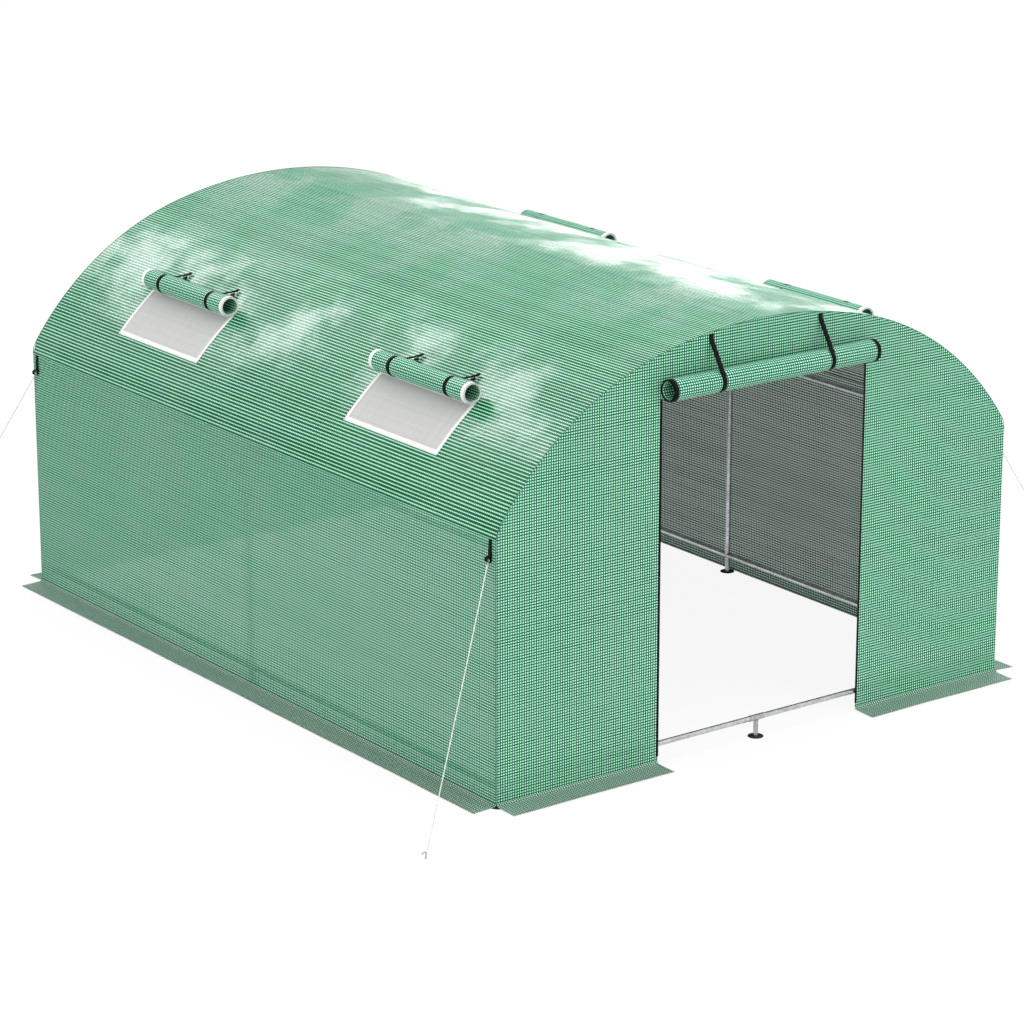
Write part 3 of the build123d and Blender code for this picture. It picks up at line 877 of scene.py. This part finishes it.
def spiral(start, end, radius, firstAngle, turn, straps, seed):
    # A sheet rolled up round the Y axis, from its outer edge inwards
    bm = bmesh.new()
    along = bm.verts.layers.float.new("along")
    ys = spaced([start, end], 0.012)
    way = Vector((cos(firstAngle), 0, sin(firstAngle)))
    lineOfVerts(bm, [way * radius + Vector((0, y, 0)) for y in ys])
    last = bm.verts[:] + bm.edges[:]
    travelled, now = 0.0, radius
    for half in range(rollShape["halfTurns"]):
        centre = way * (0 if half % 2 == 0 else -rollShape["layer"] / 2)
        for _ in range(rollShape["steps"]):
            turned = bmesh.ops.spin(
                bm, geom=last, cent=centre, axis=(0, 1, 0), angle=turn * pi / rollShape["steps"], steps=1,
            )
            last = turned["geom_last"]
            travelled += now * pi / rollShape["steps"]
            for vert in vertsIn(last):
                vert[along] = travelled
        now -= rollShape["layer"] / 2
    layer = bm.loops.layers.uv.new("UVMap")
    for face in bm.faces:
        for loop in face.loops:
            loop[layer].uv = (loop.vert.co.y, loop.vert[along])
    bm.normal_update()
    lean = sum(f.normal.dot(f.calc_center_median() * Vector((1, 0, 1))) for f in bm.faces)
    if lean < 0:
        bmesh.ops.reverse_faces(bm, faces=bm.faces[:])
    for vert in bm.verts:
        outward = Vector((vert.co.x, 0, vert.co.z)).normalized()
        pinch = sum(exp(-(((vert.co.y - y) / rollShape["pinchWidth"]) ** 2)) for y in straps)
        uneven = noise.noise(Vector((vert.co.y * 4.0, vert[along] * 5.0, seed)))
        vert.co += outward * (0.0011 * uneven - rollShape["pinch"] * pinch)
    return bm


def buildRoll(name, nodes, radius, length, firstAngle, turn, place, straps, fabric, rim, seed):
    bm = spiral(-length / 2, length / 2, radius, firstAngle, turn, straps, seed)
    bmesh.ops.transform(bm, matrix=place, verts=bm.verts[:])
    roll = piece(name, bm, fabric, nodes)
    thicken(roll, rollShape["sheet"], -1.0)
    for end, label in ((-1, "near"), (1, "far")):
        inner, outer = sorted((end * (length / 2 - rollShape["rimWidth"]), end * (length / 2 + 0.001)))
        bm = spiral(inner, outer, radius + 0.0007, firstAngle, turn, straps, seed)
        bmesh.ops.transform(bm, matrix=place, verts=bm.verts[:])
        edge = piece(name + "_rim_" + label, bm, rim)
        thicken(edge, rollShape["rimThickness"], -1.0)


windowRoll = {
    "radius": 0.050,
    "length": 0.740,
    "distance": 1.210,
    "seat": 0.006,
    "straps": (-0.22, 0.22),
    "strapWidth": 0.025,
    "strapThickness": 0.0014,
}


def rollAxis(side):
    return roofPoint(side * windowRoll["distance"], windowRoll["seat"] + windowRoll["radius"])


def buildWindowRolls():
    for side, label in ((-1, "left"), (1, "right")):
        tilt = roofTilt(side * windowRoll["distance"])
        inwardAngle = atan2(-cos(tilt), -sin(tilt))
        for centre, end in zip(windows["centres"], ("front", "rear")):
            sag = roofSag(side * windowRoll["distance"], centre)
            axis = rollAxis(side) + roofNormal(side * windowRoll["distance"]) * sag
            place = Matrix.Translation(axis + Vector((0, centre, 0)))
            buildRoll(
                label + "_" + end + "_window_roll", (label + "_window_rolls",),
                windowRoll["radius"], windowRoll["length"], inwardAngle, side, place, windowRoll["straps"],
                rollFabric, whiteTape, 5.0 + centre + side,
            )


def ribbonAlong(bm, points, across, width):
    half = Vector(across) * width / 2
    layer = bm.loops.layers.uv.get("UVMap") or bm.loops.layers.uv.new("UVMap")
    verts = [bm.verts.new(points[0] + half), bm.verts.new(points[0] - half)]
    edge = bm.edges.new(verts)
    travelled = 0.0
    for before, after in zip(points, points[1:]):
        moved, (edge,), (face,) = pull(bm, [edge], after - before)
        step = (after - before).length
        for loop in face.loops:
            far = step if loop.vert in moved else 0.0
            loop[layer].uv = (travelled + far, loop.vert.co.dot(Vector(across)))
        travelled += step


def cordAlong(bm, points, radius, segments=8):
    # A round cord through points that keep nearly to one direction, closed at both ends
    place = turnedTo(points[0], points[-1] - points[0])
    made = bmesh.ops.create_circle(bm, cap_ends=True, segments=segments, radius=radius, matrix=place)
    ring = edgesOf(made["verts"])
    for before, after in zip(points, points[1:]):
        _, ring, _ = pull(bm, ring, after - before)
    bmesh.ops.holes_fill(bm, edges=ring)


def arcPoints(centre, radius, start, end, first, second, steps):
    # Points round a centre from one angle to another, measured from first towards second
    angles = [start + (end - start) * i / steps for i in range(steps + 1)]
    return [centre + (first * cos(a) + second * sin(a)) * radius for a in angles]


tieShape = {
    "wrap": (-68, 130),  # degrees round the roll, from the downhill side over the top
    "uphill": 0.126,  # from the roll's seat to the toggle
    "forward": 0.014,
    "start": 0.004,  # how far downhill of the roll's top the cord starts
    "cord": 0.0044,
    "slack": 0.006,
    "toggle": 0.0065,
    "toggleLength": 0.026,
    "apart": (0.030, 0.004),  # the second toggle from the first, downhill and to the rear
    "rise": 0.003,  # of the thinner cord between the two
    "thinner": 0.6,
}


def addToggle(bm, place, way):
    # A small barrel, wider at the middle
    length, radius = tieShape["toggleLength"], 0.7 * tieShape["toggle"]
    made = bmesh.ops.create_cone(
        bm, cap_ends=True, segments=12, radius1=radius, radius2=radius, depth=length,
        matrix=turnedTo(place, way),
    )
    sides = [e for e in edgesOf(made["verts"]) if abs(e.calc_length() - length) < 1e-4]
    cut = bmesh.ops.subdivide_edges(bm, edges=sides, cuts=1)
    for vert in vertsIn(cut["geom_inner"]):
        vert.co = place + (vert.co - place) * 1.45


def slackPoints(start, end, drop, spans):
    # A nearly straight line that hangs by the drop at its middle
    shares = [i / spans for i in range(spans + 1)]
    return [start.lerp(end, share) - Vector((0, 0, 4 * drop * share * (1 - share))) for share in shares]


def buildWindowStraps():
    bands, cords, toggles = bmesh.new(), bmesh.new(), bmesh.new()
    radius = windowRoll["radius"] + 0.0006 - rollShape["pinch"]
    first, last = tieShape["wrap"]
    for side in (-1, 1):
        distance = side * windowRoll["distance"]
        tilt = roofTilt(abs(distance))
        up, down = roofNormal(distance), Vector((side * cos(tilt), 0, -sin(tilt)))
        for centre in windows["centres"]:
            axis = rollAxis(side) + up * roofSag(distance, centre)
            for offset in windowRoll["straps"]:
                middle = axis + Vector((0, centre + offset, 0))
                around = arcPoints(middle, radius, radians(first), radians(last), down, up, 26)
                ribbonAlong(bands, around, (0, 1, 0), windowRoll["strapWidth"])
                top = middle + up * (radius + tieShape["cord"] * 0.6) + down * tieShape["start"]
                foot = roofPoint(distance - side * tieShape["uphill"], tieShape["toggle"])
                end = Vector((foot.x, middle.y - tieShape["forward"], foot.z))
                cordAlong(cords, slackPoints(top, end, tieShape["slack"], 10), tieShape["cord"])
                beside = end + down * tieShape["apart"][0] + Vector((0, tieShape["apart"][1], 0))
                addToggle(toggles, end, Vector((0, -1, 0)) - down * 0.9)
                addToggle(toggles, beside, Vector((0, 1, 0)) + down * 0.4)
                between = slackPoints(end, beside, -tieShape["rise"], 4)
                cordAlong(cords, between, tieShape["cord"] * tieShape["thinner"])
    straps = piece("window_strap_bands", bands, blackWebbing, ("window_straps",))
    thicken(straps, windowRoll["strapThickness"], 1.0)
    ends = (("window_strap_cords", cords, blackWebbing), ("window_strap_toggles", toggles, blackPlastic))
    for name, bm, finish in ends:
        drapeUv(bm, lambda co: (co.y, co.x + co.z))
        bmesh.ops.recalc_face_normals(bm, faces=bm.faces[:])
        piece(name, bm, finish)


doorRoll = {
    "radius": 0.052,
    "straps": (-0.32, 0.32),
    "strapWidth": 0.026,
    "strapThickness": 0.0015,
    "patch": 0.024,
    "wrap": 196,  # degrees round the roll
    "tail": [(0.012, -0.004), (0.022, -0.014)],
}


def buildDoor():
    low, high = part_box("door_roll")
    length, radius = high[0] - low[0], doorRoll["radius"]
    centre = Vector(((low[0] + high[0]) / 2, -halfLength - 0.0003 - radius, low[2] + radius))
    turned = Matrix.Translation(centre) @ Matrix.Rotation(-pi / 2, 4, "Z")
    buildRoll(
        "rolled_door", ("door_roll",), radius, length, pi, -1, turned,
        doorRoll["straps"], doorFabric, blackWebbing, 2.0,
    )
    bm = bmesh.new()
    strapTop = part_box("door_straps")[1][2]
    reach = radius + 0.0006 - rollShape["pinch"]
    rearwards, up = Vector((0, 1, 0)), Vector((0, 0, 1))
    for x in doorRoll["straps"]:
        middle = Vector((x, centre.y, centre.z))
        start = Vector((x, -halfLength - 0.0012, strapTop))
        foot = start - Vector((0, 0.0004, doorRoll["patch"]))
        # The strap runs straight from its stitched patch to where it touches the roll
        dy, dz = foot.y - middle.y, foot.z - middle.z
        far = hypot(dy, dz)
        touch = atan2(dz, dy) + (pi / 2 - asin(reach / far))
        last = touch + radians(doorRoll["wrap"])
        around = arcPoints(middle, reach, touch, last, rearwards, up, 26)
        tail = [around[-1] + Vector((0, back, fall)) for back, fall in doorRoll["tail"]]
        ribbonAlong(bm, [start, start.lerp(foot, 0.5), foot] + around + tail, (1, 0, 0), doorRoll["strapWidth"])
    straps = piece("rolled_door_straps", bm, blackWebbing, ("door_straps",))
    thicken(straps, doorRoll["strapThickness"], 0.0)


zipShape = {
    "tape": 0.012,
    "lap": 0.002,  # how far the tape reaches into the doorway
    "tapeThickness": 0.0009,
    "pitch": 0.004,
    "tooth": (0.0042, 0.0026, 0.0024),
}


def buildZips():
    low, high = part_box("door_zips")
    tape, teeth = bmesh.new(), bmesh.new()
    y = -halfLength - 0.0007
    for side in (-1, 1):
        x = side * (doorHalf + zipShape["tape"] / 2 - zipShape["lap"])
        points = [Vector((x, y, z)) for z in spaced([low[2], high[2]], 0.05)]
        ribbonAlong(tape, points, (1, 0, 0), zipShape["tape"])
        for i in range(int((high[2] - low[2]) / zipShape["pitch"])):
            made = bmesh.ops.create_cube(teeth, size=1.0)
            bmesh.ops.scale(teeth, vec=zipShape["tooth"], verts=made["verts"])
            where = (side * (doorHalf - 0.0006), y - 0.0006, low[2] + (i + 0.5) * zipShape["pitch"])
            bmesh.ops.translate(teeth, vec=where, verts=made["verts"])
    made = piece("zip_tapes", tape, blackWebbing, ("door_zips",))
    thicken(made, zipShape["tapeThickness"], 0.0)
    drapeUv(teeth, lambda co: (co.z, co.x))
    piece("zip_teeth", teeth, blackPlastic, smooth=False)


cornerStrap = {
    "width": 0.024,
    "fromEnd": 0.042,
    "offWall": 0.0012,
    "thickness": 0.0016,
    "drop": 0.066,
    "loop": 0.0125,
    "sewn": [(0.0028, 0.004), (0.0024, 0.020)],  # the end that is sewn back, from the foot of the drop
}
ropeShape = {
    "radius": 0.0024,
    "twist": 0.020,
    "strands": 3,
    "sag": 0.004,
    "peg": (0.0081, 0.0075),  # the lower eye, in from the box's corner and up
    "eyes": (0.0056, 0.0058),
    "knots": (0.022, 0.026),
}


def mirrorCorners(bm):
    # Copies what is made at one corner to all four
    for flip in ((-1, 1, 1), (1, -1, 1)):
        copied = bmesh.ops.duplicate(bm, geom=bm.verts[:] + bm.edges[:] + bm.faces[:])["geom"]
        bmesh.ops.scale(bm, vec=flip, verts=vertsIn(copied))
        bmesh.ops.reverse_faces(bm, faces=facesIn(copied))


def buildCornerStraps():
    # A webbing tab hangs from the eave and is sewn back on itself round the rope
    y, foot = halfLength - cornerStrap["fromEnd"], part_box("eave_straps")[0][2]
    x, top, loop = halfWidth + cornerStrap["offWall"], roofLine["eaveHeight"], cornerStrap["loop"]
    fall = Vector((x, y, top - cornerStrap["drop"]))
    ring = Vector((x + loop, y, foot + loop))
    around = arcPoints(ring, loop, radians(165), radians(495), Vector((1, 0, 0)), Vector((0, 0, 1)), 22)
    points = [Vector((x, y, top)), Vector((x, y, top - 0.02)), Vector((x + 0.0006, y, top - 0.045)), fall]
    points += around + [fall + Vector((off, 0, up)) for off, up in cornerStrap["sewn"]]
    bm = bmesh.new()
    ribbonAlong(bm, points, (0, 1, 0), cornerStrap["width"])
    mirrorCorners(bm)
    made = piece("corner_strap_loops", bm, blackWebbing, ("eave_straps",))
    thicken(made, cornerStrap["thickness"], 0.0)


def buildGuyRopes():
    # Three strands laid round each other, from the strap's loop to the peg
    strapFoot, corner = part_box("eave_straps")[0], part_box("guy_ropes")[1]
    x, y = halfWidth + cornerStrap["offWall"] + cornerStrap["loop"], halfLength - cornerStrap["fromEnd"]
    start = Vector((x, y, strapFoot[2] + 0.0045))
    inset, height = ropeShape["peg"]
    end = Vector((corner[0] - inset, corner[1] - inset, height))
    length = (end - start).length
    way = (end - start).normalized()
    first = way.cross(Vector((0, 0, 1))).normalized()
    second = way.cross(first)
    core = ropeShape["radius"] * 0.54
    bm = bmesh.new()
    line = slackPoints(start, end, ropeShape["sag"], round(length / ropeShape["twist"] * 8))
    for strand in range(ropeShape["strands"]):
        points = []
        for i, middle in enumerate(line):
            turns = i / (len(line) - 1) * length / ropeShape["twist"] + strand / ropeShape["strands"]
            turn = 2 * pi * turns
            points.append(middle + (first * cos(turn) + second * sin(turn)) * core)
        cordAlong(bm, points, core * 1.08, segments=6)
    addEye(bm, start + Vector((0, 0, 0.002)), ropeShape["eyes"][0], Vector((0, 1, 0)))
    addEye(bm, end, ropeShape["eyes"][1], Vector((0, 0, 1)))
    addKnot(bm, start + way * ropeShape["knots"][0], way)
    addKnot(bm, end - way * ropeShape["knots"][1], way)
    mirrorCorners(bm)
    bmesh.ops.recalc_face_normals(bm, faces=bm.faces[:])
    piece("guy_rope_lays", bm, paleRope, ("guy_ropes",))


def addEye(bm, centre, radius, axis):
    # A ring of rope round the axis
    off = axis.orthogonal().normalized()
    place = turnedTo(centre + off * radius, axis.cross(off))
    section = bmesh.ops.create_circle(bm, segments=8, radius=ropeShape["radius"], matrix=place)["verts"]
    geom = section + edgesOf(section)
    bmesh.ops.spin(bm, geom=geom, cent=centre, axis=axis, angle=2 * pi, steps=20, use_merge=True)


def addKnot(bm, centre, way):
    # A lump, longer along the rope
    place = Matrix.Translation(centre)
    made = bmesh.ops.create_icosphere(bm, subdivisions=2, radius=ropeShape["radius"] * 1.9, matrix=place)
    for vert in made["verts"]:
        off = vert.co - centre
        vert.co = centre + off * (1.0 + 0.22 * noise.noise(off * 700)) + way * off.dot(way) * 0.55


seamShape = {"radius": 0.0016, "step": 0.03}


def buildSeams():
    # A corded seam where the roof meets both ends, from eave to eave
    bm = bmesh.new()
    left = roofPoint(-eaveDistance)
    for y in (-halfLength + 0.0005, halfLength - 0.0005):
        place = Matrix.Translation((left.x, y, left.z))
        made = bmesh.ops.create_circle(bm, segments=8, radius=seamShape["radius"], matrix=place)
        spinRoof(bm, made["verts"] + edgesOf(made["verts"]), [-eaveDistance, eaveDistance], seamShape["step"])
    bmesh.ops.holes_fill(bm, edges=[e for e in bm.edges if e.is_boundary])
    drapeUv(bm, lambda co: (co.x, co.z))
    bmesh.ops.recalc_face_normals(bm, faces=bm.faces[:])
    piece("corded_seams", bm, seamCord)


buildSkirts()
print("skirts made")
for side, label in ((-1, "left"), (1, "right")):
    for centre, end in zip(windows["centres"], ("front", "rear")):
        buildWindow(side, centre, label + "_" + end + "_window", label + "_window_meshes")
buildWindowRolls()
buildWindowStraps()
print("windows made")
buildDoor()
buildZips()
print("door made")
buildCornerStraps()
buildGuyRopes()
buildSeams()
print("straps, ropes and seams made")
